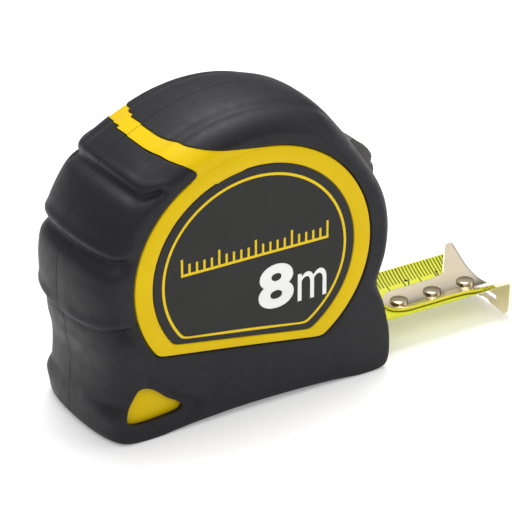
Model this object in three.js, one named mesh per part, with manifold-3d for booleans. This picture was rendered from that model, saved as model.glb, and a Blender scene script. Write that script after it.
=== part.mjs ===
// Pocket tape measure with a moulded two-part case, a sprung reel, a sliding blade lock and a riveted end hook.
// Millimetres, +Z up. +X points out of the mouth, -Y is the label side and +Y the belt clip side.
// The origin lies on the flat base, straight under the axis of the reel.
import * as THREE from "three";
import { mergeVertices } from "three/addons/utils/BufferGeometryUtils.js";
import Module from "manifold-3d";

const wasm = await Module();
wasm.setup();

// ---- driving dimensions ----

const GAP = 0.3; // clearance between pieces that touch on the real object
const REEL_Z = 38.5; // height of the reel axis above the base

// case
const HALF_WIDTH = 18.5; // middle plane to the rubber on a side face
const RUBBER = 1.6; // thickness of the overmoulded grip
const TRIM_SINK = 0.15; // the yellow trim lies this far below the rubber
const BASE_ARCH = 1.3; // rise of the two base edges midway between the feet
const PARTING_Y = 0.7; // the two halves meet just beside the middle plane
const CAVITY_RADIUS = 30.5;
const CAVITY_HALF_WIDTH = 13.4;
const TUNNEL = { rear: -36.5, front: 46, floor: 2.6, roof: 12.5, mouthRoof: 15, mouthRear: 32 };

// trim on the side faces
const RING_OUTER = { a: 32.7, c: 30.05 }; // half length and half height of the oval
const RING_INNER = { a: 27.8, c: 25.6 };
const CHORD_OUTER = [[-26.8, 21.3], [19.7, 14]]; // lower straight edge of the oval, rear and front end
const CHORD_INNER = [[-22.9, 23.6], [15.2, 17.2]];
const LABEL_THICKNESS = 0.35;
const LABEL_RECESS = 0.6;

// blade
const BLADE_HALF_CHORD = 11.6;
const BLADE_SAGITTA = 4.2; // the blade is cupped, with its hollow side up
const BLADE_THICKNESS = 0.2;
const BLADE_EDGE_Z = 9;
const BLADE_TAIL_X = 4;
const HOOK_FRONT_X = 80.8;

// hook
const HOOK_THICKNESS = 0.9;
const HOOK_BOTTOM_Z = 0.35;
const STRAP_REAR = 30.5; // distances behind the hook's front face
const STRAP_HALF_WIDTH = 5;
const WING_REAR = 9;
const RIVET_BACK = [5.6, 16.1, 26.5];
const HOOK_PLAY = 1; // how far the hook slides on its rivets
const RIVET_SHANK = 1.05;
const RIVET_HEAD = 2.4;
const BEND_BEVEL = 0.7; // inside of the bend between the strap and the flange

// reel
const POST_RADIUS = 4;
const POST_HALF_LENGTH = 15.5;
const DRUM_INNER = 16;
const DRUM_OUTER = 18;
const COIL_OUTER = 26.3;
const COIL_HALF_WIDTH = 12.5;
const WEB_THICKNESS = 1.5;
const SPRING = { inner: 4.9, outer: 15.2, turns: 7, thickness: 0.4 };

// blade lock, an arc that slides round the reel axis
const LOCK_TRAVEL = 10; // degrees
const LOCK_HALF_WIDTH = 7.2;
const LOCK_SLOT_HALF_WIDTH = 7.6;
const ARM = { inner: 33.2, outer: 35.2, top: 31, bottom: -28 };
const LINK = { inner: 26.9, outer: 29.4, top: -40, bottom: -63 }; // lower end of the arm, beside the coil
const LOCK_SLOT = { inner: 30, outer: 50, top: 32, bottom: -14 };
const LOCK_TRACK = { inner: 30, outer: 36, top: 32, bottom: -52 };
const BRAKE = { rear: 2, front: 7, bottom: 5.9, seam: 6.9, top: 11.7, halfWidth: 5 }; // when pressed down

// belt clip, a bent strip of spring steel
const CLIP_HALF_WIDTH = 10;
const CLIP_THICKNESS = 1;
const CLIP_TAB = { bottom: 49, top: 61, standoff: 0.25 };
const CLIP_BEND_RADIUS = 2.3; // inside of the bend
const CLIP_SCREW_Z = 54;
const CLIP_LEAF = { straightEnd: 25, pinchZ: 19.5, pinchGap: 1.7, tipZ: 15.5, tipGap: 3.6 };

// screws, along Y
const SCREW_SHANK = 1.3;
const SCREW_HEAD = 2.2;
const SCREW_HEAD_Y = 12.4;
const SCREW_HEAD_HEIGHT = 1.5;
const SCREW_TIP_Y = -10;

// ---- materials ----

const RUBBER_BLACK = new THREE.MeshStandardMaterial({ color: 0x2e2e33, roughness: 0.75 });
const YELLOW_PLASTIC = new THREE.MeshStandardMaterial({ color: 0xe2bd0a, roughness: 0.35 });
const LABEL_BLACK = new THREE.MeshStandardMaterial({ color: 0x3b3937, roughness: 0.4 });
const BLADE_LACQUER = new THREE.MeshStandardMaterial({ color: 0xcdd438, roughness: 0.4 });
const NICKEL = new THREE.MeshStandardMaterial({ color: 0xcdbea5, roughness: 0.25, metalness: 1 });
const BLACK_PLASTIC = new THREE.MeshStandardMaterial({ color: 0x26262a, roughness: 0.5 });
const GREY_PLASTIC = new THREE.MeshStandardMaterial({ color: 0x9a9a98, roughness: 0.5 });
const SPRING_STEEL = new THREE.MeshStandardMaterial({ color: 0x77797d, roughness: 0.35, metalness: 1 });
const ZINC_STEEL = new THREE.MeshStandardMaterial({ color: 0xb8bcc2, roughness: 0.3, metalness: 1 });

// ---- solids ----

// A closed geometry as a solid, turned right side out if its profile ran the other way.
function solid(geometry) {
  const bare = geometry.index ? geometry.toNonIndexed() : geometry.clone();
  bare.deleteAttribute("normal");
  bare.deleteAttribute("uv");
  const merged = mergeVertices(bare, 1e-4);
  const vertProperties = merged.attributes.position.array;
  const triVerts = new Uint32Array(merged.index.array);
  const made = new wasm.Manifold(new wasm.Mesh({ numProp: 3, vertProperties, triVerts }));
  if (made.volume() > 0) return made;
  for (let i = 0; i < triVerts.length; i += 3) {
    [triVerts[i + 1], triVerts[i + 2]] = [triVerts[i + 2], triVerts[i + 1]];
  }
  return new wasm.Manifold(new wasm.Mesh({ numProp: 3, vertProperties, triVerts }));
}

function geometryOf(body) {
  const { vertProperties, triVerts } = body.getMesh();
  const geometry = new THREE.BufferGeometry();
  geometry.setAttribute("position", new THREE.BufferAttribute(new Float32Array(vertProperties), 3));
  geometry.setIndex(new THREE.BufferAttribute(new Uint32Array(triVerts), 1));
  geometry.computeVertexNormals();
  return geometry;
}

const joined = (bodies) => bodies.reduce((sum, body) => sum.add(body));
const cut = (body, tools) => tools.reduce((rest, tool) => rest.subtract(tool), body);

function box(x0, x1, y0, y1, z0, z1) {
  const geometry = new THREE.BoxGeometry(x1 - x0, y1 - y0, z1 - z0);
  geometry.translate((x0 + x1) / 2, (y0 + y1) / 2, (z0 + z1) / 2);
  return solid(geometry);
}

function rodY(radius, y0, y1, x, z, segments = 24) {
  const geometry = new THREE.CylinderGeometry(radius, radius, y1 - y0, segments);
  geometry.translate(x, (y0 + y1) / 2, z);
  return solid(geometry);
}

function rodZ(radius, z0, z1, x, y, segments = 20) {
  const geometry = new THREE.CylinderGeometry(radius, radius, z1 - z0, segments);
  geometry.rotateX(Math.PI / 2);
  geometry.translate(x, y, (z0 + z1) / 2);
  return solid(geometry);
}

// An outline of [x, z] points pushed along Y.
function plateXZ(points, y0, y1) {
  const shape = new THREE.Shape(points.map(([x, z]) => new THREE.Vector2(x, z)));
  const geometry = new THREE.ExtrudeGeometry(shape, { depth: y1 - y0, bevelEnabled: false });
  geometry.rotateX(Math.PI / 2);
  geometry.translate(0, y1, 0);
  return solid(geometry);
}

// An outline of [y, z] points pushed along X.
function plateYZ(points, x0, x1) {
  const shape = new THREE.Shape(points.map(([y, z]) => new THREE.Vector2(y, z)));
  const geometry = new THREE.ExtrudeGeometry(shape, { depth: x1 - x0, bevelEnabled: false });
  geometry.rotateX(Math.PI / 2);
  geometry.rotateZ(Math.PI / 2);
  geometry.translate(x0, 0, 0);
  return solid(geometry);
}

// An outline of [x, y] points pushed along Z.
function plateXY(points, z0, z1) {
  const shape = new THREE.Shape(points.map(([x, y]) => new THREE.Vector2(x, y)));
  const geometry = new THREE.ExtrudeGeometry(shape, { depth: z1 - z0, bevelEnabled: false });
  geometry.translate(0, 0, z0);
  return solid(geometry);
}

// A closed [radius, y] profile turned round the reel axis.
function turnedY(profile, segments) {
  const points = [...profile, profile[0]].map(([r, y]) => new THREE.Vector2(r, y));
  const geometry = new THREE.LatheGeometry(points, segments);
  geometry.translate(0, 0, REEL_Z);
  return solid(geometry);
}

const radians = (degrees) => (degrees * Math.PI) / 180;

// The [x, z] point at an angle and radius about the reel axis.
function polar(degrees, radius) {
  return [radius * Math.cos(radians(degrees)), REEL_Z + radius * Math.sin(radians(degrees))];
}

function arc(radius, from, to, steps) {
  return Array.from({ length: steps + 1 }, (_, i) => polar(from + ((to - from) * i) / steps, radius));
}

// The outline of a ring sector about the reel axis.
function sector({ inner, outer, top, bottom }, steps = 14) {
  return [...arc(outer, bottom, top, steps), ...arc(inner, top, bottom, steps)];
}

// Turns an [x, z] point about the reel axis.
function turned([x, z], degrees) {
  const angle = Math.atan2(z - REEL_Z, x) + radians(degrees);
  const radius = Math.hypot(x, z - REEL_Z);
  return [radius * Math.cos(angle), REEL_Z + radius * Math.sin(angle)];
}

// ---- outer form of the case ----

// Middle-plane outline, from the lower front corner up over the top and back along the base.
const OUTLINE = [
  [36, 0], [38.1, 0.9], [39.1, 3.2], [39.2, 8.8], [38.9, 11.6], [38.5, 14], [38.3, 18],
  polar(-22, 41.4), polar(-10, 41.4), polar(2, 41.1), polar(14, 40.2), polar(28, 39.2), polar(43, 39.4),
  polar(53, 40.2), polar(60, 40.4), polar(75, 39.6), polar(90, 39), polar(105, 38.8), polar(119, 39.1),
  polar(128, 39.8), polar(134, 40.6), polar(141, 41.2), polar(148, 41.5), polar(157, 42), polar(162, 42.2),
  polar(166, 42.5), polar(170, 42.7), polar(178, 43), polar(187, 43.3), polar(190, 43.7), polar(193, 43.9),
  polar(197, 43.3), [-41.1, 23.6], [-40.2, 19], [-40, 14.5], [-40.3, 9], [-40.5, 4], [-39.8, 1], [-37.5, 0],
  [-20, 0], [0, 0], [20, 0],
];
const STEPS_PER_POINT = 1;
const ACROSS_STEPS = 6; // from the middle plane to a side face
const REAR_FOOT_ROUND = 6; // how far the rear foot's corners draw in, seen from above

// Grip grooves across the back, as the angle about the reel axis.
const GROOVES = [141, 166, 192];
const GROOVE_DEPTH = 1.4;
const GROOVE_HALF_WIDTH = 2.2;

const outlineCurve = new THREE.CatmullRomCurve3(
  OUTLINE.map(([x, z]) => new THREE.Vector3(x, 0, z)),
  true,
  "centripetal",
);

function blend(low, high, value) {
  return THREE.MathUtils.smoothstep(value, low, high);
}

// 0 at the base and nose, where the edges are tight, 1 where the case is round.
function roundness(x, z) {
  return THREE.MathUtils.lerp(blend(11, 24, z), blend(1, 11, z), blend(0, 25, -x));
}

// How far the shoulders draw in where the case is round. The front is fuller than the rest.
function shoulderInset(x, z) {
  return 7 - 1.6 * blend(0, 20, x) * (1 - blend(45, 66, z));
}

function grooveDepth(x, z) {
  const radius = Math.hypot(x, z - REEL_Z);
  const angle = THREE.MathUtils.euclideanModulo(Math.atan2(z - REEL_Z, x), 2 * Math.PI);
  const distances = GROOVES.map((degrees) => Math.abs(angle - radians(degrees)) * radius);
  return GROOVE_DEPTH * Math.exp(-((Math.min(...distances) / GROOVE_HALF_WIDTH) ** 2));
}

// The case's outer form, or with a skin the same form that far below the surface.
function caseForm(skin) {
  const around = OUTLINE.length * STEPS_PER_POINT;
  const across = 2 * ACROSS_STEPS;
  const halfWidth = HALF_WIDTH - skin;
  const positions = [];
  for (let i = 0; i < around; i++) {
    const point = outlineCurve.getPoint(i / around);
    const tangent = outlineCurve.getTangent(i / around);
    const round = roundness(point.x, point.z);
    const sunk = skin * (0.6 + 0.4 * round) + grooveDepth(point.x, point.z);
    const full = THREE.MathUtils.lerp(1.6, shoulderInset(point.x, point.z), round);
    const inset = Math.max(full, sunk + 0.5) - sunk;
    const power = THREE.MathUtils.lerp(9, 2.2, round);
    const footRound = REAR_FOOT_ROUND * (1 - round) * blend(0, 18, -point.x);
    for (let j = 0; j <= across; j++) {
      const angle = ((j / across) * 2 - 1) * (Math.PI / 2);
      const side = Math.sin(angle);
      const depth = sunk + inset * (1 - Math.max(0, 1 - Math.abs(side) ** power) ** (1 / power));
      const arch = point.z < 1 ? BASE_ARCH * Math.max(0, 1 - (point.x / 30) ** 2) : 0;
      const lift = arch * blend(0.5, 0.75, Math.abs(side));
      const plan = footRound * (1 - Math.max(0, 1 - Math.abs(side) ** 2.2) ** (1 / 2.2));
      positions.push(point.x - tangent.z * depth + plan, halfWidth * side, point.z + tangent.x * depth + lift);
    }
  }
  const triangles = [];
  for (let i = 0; i < around; i++) {
    const here = i * (across + 1);
    const next = ((i + 1) % around) * (across + 1);
    for (let j = 0; j < across; j++) {
      triangles.push(here + j, here + j + 1, next + j + 1, here + j, next + j + 1, next + j);
    }
    triangles.push(positions.length / 3, here, next, positions.length / 3 + 1, next + across, here + across);
  }
  positions.push(0, -halfWidth, REEL_Z, 0, halfWidth, REEL_Z);
  const geometry = new THREE.BufferGeometry();
  geometry.setAttribute("position", new THREE.Float32BufferAttribute(positions, 3));
  geometry.setIndex(triangles);
  return solid(geometry);
}

// ---- trim outlines ----

// An oval about the reel axis with its foot cut off along a chord, shrunk by a margin.
function cutOval({ a, c }, [rear, front], margin) {
  const angleOf = ([x, z]) => Math.atan2((z - REEL_Z) / c, x / a);
  const start = angleOf(front);
  const sweep = THREE.MathUtils.euclideanModulo(angleOf(rear) - start, 2 * Math.PI);
  const steps = 40;
  const shrink = (x, z) => {
    const length = Math.hypot(x, z - REEL_Z);
    return [x * (1 - margin / length), REEL_Z + (z - REEL_Z) * (1 - margin / length)];
  };
  return Array.from({ length: steps + 1 }, (_, i) => {
    const angle = start + (sweep * i) / steps;
    return shrink(a * Math.cos(angle), REEL_Z + c * Math.sin(angle));
  });
}

// The yellow stripe that leaves the ring at the upper rear and crosses the top.
function stripe(margin) {
  return [
    [5, 66], [6 - margin, 68 - margin], [-8, 70 - margin], [-15, 71.3 - margin], [-19.3 - margin, 72 - margin],
    [-22.6 - margin, 77], [-29.2 + margin, 77], [-23.4 + margin, 69.6 + margin],
    [-18.4, 67.8 + margin], [-13.4 + margin, 65 + margin], [-10, 62],
  ];
}

// The rounded triangular window low at the rear of each side face.
const WINDOW = [[-31.6, 15.2], [-34.6, 10.4], [-34.2, 6.4], [-31.5, 5.3], [-20, 5.4], [-17.2, 6.1], [-24, 9.6]];

const SIDES = { right: -1, left: 1 }; // sign of Y

// A plate at one side face, reaching inwards to a depth under the rubber.
function sidePlate(points, side, inner, outer) {
  return side < 0 ? plateXZ(points, -outer, -inner) : plateXZ(points, inner, outer);
}

function halfSpace(side) {
  const near = PARTING_Y + (side * GAP) / 2;
  return side < 0 ? box(-60, 60, -30, near, -5, 90) : box(-60, 60, near, 30, -5, 90);
}

// ---- hollows in the case ----

function tunnel() {
  const w = CAVITY_HALF_WIDTH;
  return [
    box(TUNNEL.rear, TUNNEL.front, -w, w, TUNNEL.floor, TUNNEL.roof),
    box(TUNNEL.mouthRear, TUNNEL.front, -w, w, TUNNEL.floor, TUNNEL.mouthRoof),
  ];
}

function lockHollows() {
  const w = LOCK_SLOT_HALF_WIDTH;
  return [LOCK_SLOT, LOCK_TRACK].map((range) => plateXZ(sector(range), -w, w));
}

const SCREW_PLACES = [polar(42, 35), polar(75, 34.8), polar(150, 34.8), polar(208, 35.8)];

function screwHoles(clearance) {
  return SCREW_PLACES.flatMap(([x, z]) => [
    rodY(SCREW_SHANK + clearance, SCREW_TIP_Y - 1, SCREW_HEAD_Y + 1, x, z, 16),
    rodY(SCREW_HEAD + clearance, SCREW_HEAD_Y - clearance, HALF_WIDTH + 1, x, z, 20),
  ]);
}

const outerForm = caseForm(0);
const trimForm = caseForm(TRIM_SINK);
const underGrip = caseForm(RUBBER);
const shellForm = caseForm(RUBBER + GAP);

function grip(side) {
  const under = HALF_WIDTH - RUBBER - 1;
  const skin = outerForm.subtract(underGrip).intersect(halfSpace(side));
  return cut(skin, [
    sidePlate(cutOval(RING_OUTER, CHORD_OUTER, 0), side, under, HALF_WIDTH + 1),
    plateXZ(stripe(0), -HALF_WIDTH - 1, HALF_WIDTH + 1),
    sidePlate(WINDOW, side, under, HALF_WIDTH + 1),
    ...tunnel(),
    ...lockHollows(),
    ...screwHoles(GAP),
  ]);
}

function shell(side) {
  const ring = sidePlate(cutOval(RING_OUTER, CHORD_OUTER, GAP), side, CAVITY_HALF_WIDTH, HALF_WIDTH + 1);
  const band = plateXZ(stripe(GAP), -HALF_WIDTH - 1, HALF_WIDTH + 1);
  const raised = ring.add(band).intersect(trimForm);
  const blank = shellForm.add(raised).intersect(halfSpace(side));
  const face = HALF_WIDTH - TRIM_SINK;
  const w = CAVITY_HALF_WIDTH;
  return cut(blank, [
    rodY(CAVITY_RADIUS, -w, w, 0, REEL_Z, 60),
    sidePlate(cutOval(RING_INNER, CHORD_INNER, 0), side, face - LABEL_RECESS, HALF_WIDTH + 1),
    rodY(POST_RADIUS + GAP, -POST_HALF_LENGTH - GAP, POST_HALF_LENGTH + GAP, 0, REEL_Z, 28),
    rodY(SCREW_SHANK + GAP, CAVITY_HALF_WIDTH + 1, HALF_WIDTH + 1, 0, CLIP_SCREW_Z, 16),
    ...tunnel(),
    ...lockHollows(),
    ...screwHoles(GAP),
  ]);
}

function label(side) {
  const floor = HALF_WIDTH - TRIM_SINK - LABEL_RECESS + 0.15;
  const plate = sidePlate(cutOval(RING_INNER, CHORD_INNER, GAP), side, floor, floor + LABEL_THICKNESS);
  if (side < 0) return plate;
  return plate.subtract(rodY(SCREW_SHANK + GAP, floor - 1, floor + 2, 0, CLIP_SCREW_Z, 16));
}

// ---- fasteners ----

function caseScrew([x, z]) {
  const shank = rodY(SCREW_SHANK, SCREW_TIP_Y, SCREW_HEAD_Y + 0.5, x, z, 16);
  const head = rodY(SCREW_HEAD, SCREW_HEAD_Y, SCREW_HEAD_Y + SCREW_HEAD_HEIGHT, x, z, 20);
  const middle = SCREW_HEAD_Y + SCREW_HEAD_HEIGHT;
  const crossBars = [
    box(x - 1.3, x + 1.3, middle - 0.8, middle + 1, z - 0.3, z + 0.3),
    box(x - 0.3, x + 0.3, middle - 0.8, middle + 1, z - 1.3, z + 1.3),
  ];
  return cut(shank.add(head), crossBars);
}

function clipScrew() {
  const under = HALF_WIDTH + CLIP_TAB.standoff + CLIP_THICKNESS + GAP;
  const shank = rodY(SCREW_SHANK, CAVITY_HALF_WIDTH + 1.3, under + 0.2, 0, CLIP_SCREW_Z, 16);
  const head = rodY(2.9, under, under + 1.3, 0, CLIP_SCREW_Z, 24);
  const crossBars = [
    box(-1.6, 1.6, under + 0.5, under + 2, CLIP_SCREW_Z - 0.35, CLIP_SCREW_Z + 0.35),
    box(-0.35, 0.35, under + 0.5, under + 2, CLIP_SCREW_Z - 1.6, CLIP_SCREW_Z + 1.6),
  ];
  return cut(shank.add(head), crossBars);
}

// ---- belt clip ----

const TAB_Y = HALF_WIDTH + CLIP_TAB.standoff;
const BEND_Y = TAB_Y + CLIP_THICKNESS + CLIP_BEND_RADIUS; // centre of the bend
const LEAF_Y = BEND_Y + CLIP_BEND_RADIUS; // inner face of the leaf

// Points on the bend, from 90 degrees at its top down to one side.
function clipBend(radius, from, to, steps = 5) {
  return Array.from({ length: steps + 1 }, (_, i) => {
    const angle = radians(from + ((to - from) * i) / steps);
    return [BEND_Y + radius * Math.cos(angle), CLIP_TAB.top + radius * Math.sin(angle)];
  });
}

function clipRoot() {
  const outside = CLIP_BEND_RADIUS + CLIP_THICKNESS;
  const profile = [
    [TAB_Y, CLIP_TAB.bottom],
    [TAB_Y + CLIP_THICKNESS, CLIP_TAB.bottom],
    ...clipBend(CLIP_BEND_RADIUS, 180, 93),
    ...clipBend(outside, 93, 180),
  ];
  const strip = plateYZ(profile, -CLIP_HALF_WIDTH, CLIP_HALF_WIDTH);
  return strip.subtract(rodY(SCREW_SHANK + GAP, TAB_Y - 1, TAB_Y + 3, 0, CLIP_SCREW_Z, 16));
}

function clipLeaf() {
  const outside = CLIP_BEND_RADIUS + CLIP_THICKNESS;
  const inner = [
    [LEAF_Y, CLIP_LEAF.straightEnd],
    [HALF_WIDTH + CLIP_LEAF.pinchGap, CLIP_LEAF.pinchZ],
    [HALF_WIDTH + CLIP_LEAF.tipGap, CLIP_LEAF.tipZ],
  ];
  const profile = [
    ...clipBend(CLIP_BEND_RADIUS, 87, 0),
    ...inner,
    ...inner.map(([y, z]) => [y + CLIP_THICKNESS, z]).reverse(),
    ...clipBend(outside, 0, 87),
  ];
  const strip = plateYZ(profile, -CLIP_HALF_WIDTH, CLIP_HALF_WIDTH);
  return strip.subtract(rodY(3.6, LEAF_Y - 1, LEAF_Y + 3, 0, CLIP_SCREW_Z, 24));
}

// ---- reel ----

function centrePost() {
  return rodY(POST_RADIUS, -POST_HALF_LENGTH, POST_HALF_LENGTH, 0, REEL_Z, 28);
}

function reelDrum() {
  const edge = COIL_HALF_WIDTH + 0.2;
  return turnedY(
    [
      [POST_RADIUS + GAP, edge], [POST_RADIUS + GAP, edge - WEB_THICKNESS], [DRUM_INNER, edge - WEB_THICKNESS],
      [DRUM_INNER, -edge], [DRUM_OUTER, -edge], [DRUM_OUTER, edge],
    ],
    40,
  );
}

function reelCover() {
  const edge = COIL_HALF_WIDTH;
  return turnedY(
    [
      [POST_RADIUS + GAP, -edge], [DRUM_INNER - GAP, -edge],
      [DRUM_INNER - GAP, -edge + WEB_THICKNESS], [POST_RADIUS + GAP, -edge + WEB_THICKNESS],
    ],
    40,
  );
}

// The wound part of the blade, as one ring.
function bladeCoil() {
  const w = COIL_HALF_WIDTH;
  const inner = DRUM_OUTER + GAP;
  return turnedY([[inner, -w], [COIL_OUTER, -w], [COIL_OUTER, w], [inner, w]], 56);
}

// A spiral strip from the post out to the drum.
function mainspring() {
  const stepsPerTurn = 14;
  const steps = SPRING.turns * stepsPerTurn;
  const spiral = (offset) =>
    Array.from({ length: steps + 1 }, (_, i) => {
      const radius = SPRING.inner + ((SPRING.outer - SPRING.inner) * i) / steps + offset;
      return polar((i * 360) / stepsPerTurn, radius);
    });
  const half = SPRING.thickness / 2;
  const w = COIL_HALF_WIDTH - WEB_THICKNESS - GAP;
  return plateXZ([...spiral(half), ...spiral(-half).reverse()], -w, w);
}

// ---- blade and hook ----

const CUP_RADIUS = (BLADE_HALF_CHORD ** 2 + BLADE_SAGITTA ** 2) / (2 * BLADE_SAGITTA);
const CUP_Z = BLADE_EDGE_Z - BLADE_SAGITTA + CUP_RADIUS; // centre of the cupped section
const BLADE_TOP_Z = CUP_Z - CUP_RADIUS; // hollow side of the blade, at the middle
const STRAP_UNDER_Z = BLADE_TOP_Z + GAP;
const STRAP_TOP_Z = STRAP_UNDER_Z + HOOK_THICKNESS;

// Points of the cupped section at a height above the blade's hollow side, from -Y to +Y.
function cupArc(lift, halfWidth, steps) {
  const radius = CUP_RADIUS - lift;
  const reach = Math.asin(halfWidth / radius);
  return Array.from({ length: steps + 1 }, (_, i) => {
    const angle = reach * ((2 * i) / steps - 1);
    return [radius * Math.sin(angle), CUP_Z - radius * Math.cos(angle)];
  });
}

// The cupped section between two heights, pushed along X.
function cupPlate(low, high, halfWidth, x0, x1) {
  const steps = 16;
  return plateYZ([...cupArc(low, halfWidth, steps), ...cupArc(high, halfWidth, steps).reverse()], x0, x1);
}

function bladeStrip() {
  const front = HOOK_FRONT_X - HOOK_THICKNESS - BEND_BEVEL - HOOK_PLAY - GAP;
  const strip = cupPlate(-BLADE_THICKNESS, 0, BLADE_HALF_CHORD, BLADE_TAIL_X, front);
  return cut(strip, RIVET_BACK.map((back) => rodZ(RIVET_SHANK + 0.25, 0, 20, HOOK_FRONT_X - back, 0, 16)));
}

// Hook seen from above: strap with a round tail, then the wings.
function hookPlan() {
  const tail = HOOK_FRONT_X - STRAP_REAR;
  const w = STRAP_HALF_WIDTH;
  const half = [
    [tail, 0.6 * w], [tail + 0.3 * w, 0.9 * w], [tail + 0.7 * w, w], [HOOK_FRONT_X - WING_REAR - 4, w],
    [HOOK_FRONT_X - WING_REAR, w + 1], [HOOK_FRONT_X - 7.6, w + 2.2], [HOOK_FRONT_X - 2.8, 13], [HOOK_FRONT_X, 13],
  ];
  return [...half, ...half.map(([x, y]) => [x, -y]).reverse()];
}

// Hook seen from the front: flange that narrows downwards, with a top edge that follows the cup.
function hookFlange() {
  const notch = [[4.6, HOOK_BOTTOM_Z + 0.5], [4, HOOK_BOTTOM_Z + 1], [1.4, HOOK_BOTTOM_Z + 1]];
  const bottom = [[11.2, HOOK_BOTTOM_Z], ...notch, [0.8, HOOK_BOTTOM_Z + 0.5]];
  const right = [[12.6, HOOK_BOTTOM_Z + 1.6]];
  return [
    ...cupArc(GAP + 0.2, 13, 14),
    ...right,
    ...bottom,
    ...bottom.map(([y, z]) => [-y, z]).reverse(),
    ...right.map(([y, z]) => [-y, z]),
  ];
}

// Fills the inside of the bend with a bevel that follows the cup.
function bendBevel() {
  const rear = HOOK_FRONT_X - HOOK_THICKNESS - BEND_BEVEL;
  const wedge = cupPlate(GAP - BEND_BEVEL, GAP + 0.1, 12.6, rear, HOOK_FRONT_X - HOOK_THICKNESS + 0.05);
  return wedge.warp((point) => {
    if (point[0] < rear + 0.1) point[2] += BEND_BEVEL + 0.05;
  });
}

function hook() {
  const top = cupPlate(GAP, GAP + HOOK_THICKNESS, 13, HOOK_FRONT_X - STRAP_REAR - 1, HOOK_FRONT_X);
  const plate = top.intersect(plateXY(hookPlan(), 0, 30));
  const flange = plateYZ(hookFlange(), HOOK_FRONT_X - HOOK_THICKNESS, HOOK_FRONT_X);
  const nailSlot = box(HOOK_FRONT_X - 5, HOOK_FRONT_X + 5, -7.5, 7.5, HOOK_BOTTOM_Z + 1.9, HOOK_BOTTOM_Z + 3.6);
  const rivetSlots = RIVET_BACK.flatMap((back) => {
    const x = HOOK_FRONT_X - back;
    const radius = RIVET_SHANK + 0.25;
    return [
      rodZ(radius, 0, 20, x, 0, 12),
      rodZ(radius, 0, 20, x + HOOK_PLAY, 0, 12),
      box(x, x + HOOK_PLAY, -radius, radius, 0, 20),
    ];
  });
  return cut(joined([plate, flange, bendBevel()]), [nailSlot, ...rivetSlots]);
}

function rivet(back) {
  const tailZ = BLADE_TOP_Z - BLADE_THICKNESS - 0.25;
  const headZ = STRAP_TOP_Z + 0.2;
  const rise = 1.15;
  const dome = Array.from({ length: 5 }, (_, i) => {
    const angle = (i / 5) * (Math.PI / 2);
    return [RIVET_HEAD * Math.cos(angle), headZ + 0.25 + (rise - 0.25) * Math.sin(angle)];
  });
  const profile = [
    [0, tailZ - 0.4], [1.9, tailZ - 0.4], [1.9, tailZ], [RIVET_SHANK, tailZ], [RIVET_SHANK, headZ],
    [RIVET_HEAD, headZ], ...dome, [0, headZ + rise],
  ];
  const geometry = new THREE.LatheGeometry(profile.map(([r, z]) => new THREE.Vector2(r, z)), 16);
  geometry.rotateX(Math.PI / 2);
  geometry.translate(HOOK_FRONT_X - back, 0, 0);
  return solid(geometry);
}

// A pad under the blade at the mouth, which the brake presses the blade onto.
function mouthShoe() {
  return box(20, 38, -7, 7, TUNNEL.floor + GAP, TUNNEL.floor + 0.9);
}

// ---- blade lock ----

// Side view of the thumb button, as angle and radius about the reel axis.
const THUMB = [
  [2, 38.6], [8, 40.6], [12, 41.9], [14.2, 42.6], [16, 42.7], [17.3, 42.2], [18.2, 42.8], [20, 43.2], [22.5, 42.7],
  [25, 42], [28, 41], [30, 39.6], [31, 38],
];

function lockButton() {
  const w = LOCK_HALF_WIDTH;
  const arm = plateXZ(sector(ARM), -w, w);
  const thumb = [...THUMB.map(([degrees, radius]) => polar(degrees, radius)), ...arc(34.4, 31, 2, 6)];
  const crank = [polar(-27, 35.2), polar(-27, 33.2), polar(-38, 26.9), polar(-42, 29.4), polar(-33, 35.2)];
  const foot = [
    [BRAKE.rear, BRAKE.seam + GAP], [BRAKE.front, BRAKE.seam + GAP], polar(-72, 29.4), polar(-72, 26.9),
    [BRAKE.rear, BRAKE.top],
  ];
  const raisedFoot = foot.map((point) => turned(point, LOCK_TRAVEL));
  return joined([
    arm,
    plateXZ(thumb, -6.8, 6.8),
    plateXZ(crank, -w, w),
    plateXZ(sector(LINK, 6), -BRAKE.halfWidth, BRAKE.halfWidth),
    plateXZ(raisedFoot, -BRAKE.halfWidth, BRAKE.halfWidth),
  ]);
}

function brakePad() {
  const { rear, front, bottom, seam, halfWidth } = BRAKE;
  const pressed = [[rear, bottom], [front, bottom], [front, seam], [rear, seam]];
  return plateXZ(pressed.map((point) => turned(point, LOCK_TRAVEL)), -halfWidth, halfWidth);
}

// ---- assembly ----

const tape = new THREE.Group();

function addPiece(name, body, material) {
  const mesh = new THREE.Mesh(geometryOf(body), material);
  mesh.name = name;
  tape.add(mesh);
}

for (const [name, side] of Object.entries(SIDES)) {
  addPiece("case_shell_" + name, shell(side), YELLOW_PLASTIC);
  addPiece("grip_" + name, grip(side), RUBBER_BLACK);
  addPiece("label_" + name, label(side), LABEL_BLACK);
}
SCREW_PLACES.forEach((place, i) => addPiece("case_screw_" + (i + 1), caseScrew(place), ZINC_STEEL));
addPiece("mouth_shoe", mouthShoe(), GREY_PLASTIC);
addPiece("belt_clip_root", clipRoot(), SPRING_STEEL);
addPiece("belt_clip_leaf", clipLeaf(), SPRING_STEEL);
addPiece("belt_clip_screw", clipScrew(), ZINC_STEEL);
addPiece("centre_post", centrePost(), GREY_PLASTIC);
addPiece("mainspring", mainspring(), SPRING_STEEL);
addPiece("reel_drum", reelDrum(), GREY_PLASTIC);
addPiece("reel_cover", reelCover(), GREY_PLASTIC);
addPiece("blade_coil", bladeCoil(), BLADE_LACQUER);
addPiece("blade_strip", bladeStrip(), BLADE_LACQUER);
addPiece("hook", hook(), NICKEL);
RIVET_BACK.forEach((back, i) => addPiece("rivet_" + (i + 1), rivet(back), NICKEL));
addPiece("lock_button", lockButton(), BLACK_PLASTIC);
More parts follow.
